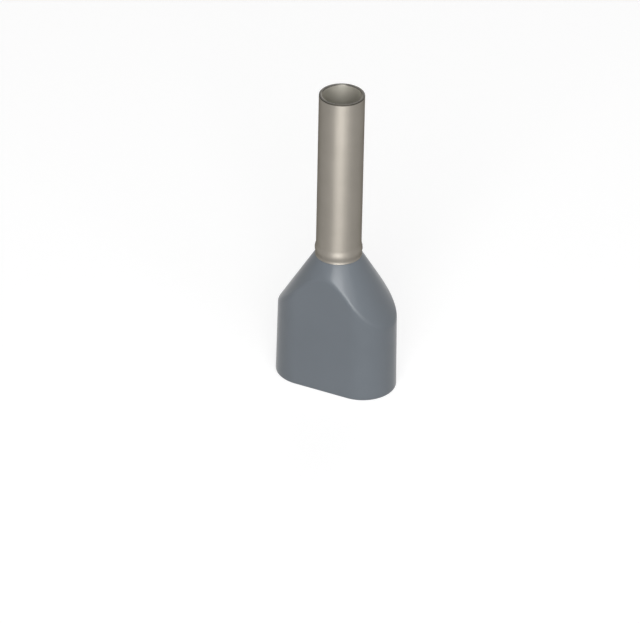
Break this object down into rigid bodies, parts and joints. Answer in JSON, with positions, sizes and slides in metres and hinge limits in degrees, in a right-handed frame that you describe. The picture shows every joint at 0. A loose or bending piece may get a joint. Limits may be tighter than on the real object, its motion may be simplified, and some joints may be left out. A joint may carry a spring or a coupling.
{
  "type": "wire ferrule",
  "caption": "Insulated wire end ferrule: thin open metal sleeve in an oval plastic collar that takes two conductors side by side.",
  "frame": {"origin": "middle of the collar's mouth, on the surface that the ferrule stands on", "axes": "+Z along the sleeve towards its open tip, X along the mouth's wide way, Y along its narrow way"},
  "size_m": [0.0058, 0.0032, 0.015],
  "materials": {
    "tinned_metal": "satin tin plate",
    "collar_plastic": "moulded, low sheen"
  },
  "bodies": {
    "root": {"sleeve": "tinned_metal", "collar": "collar_plastic"}
  },
  "joints": []
}
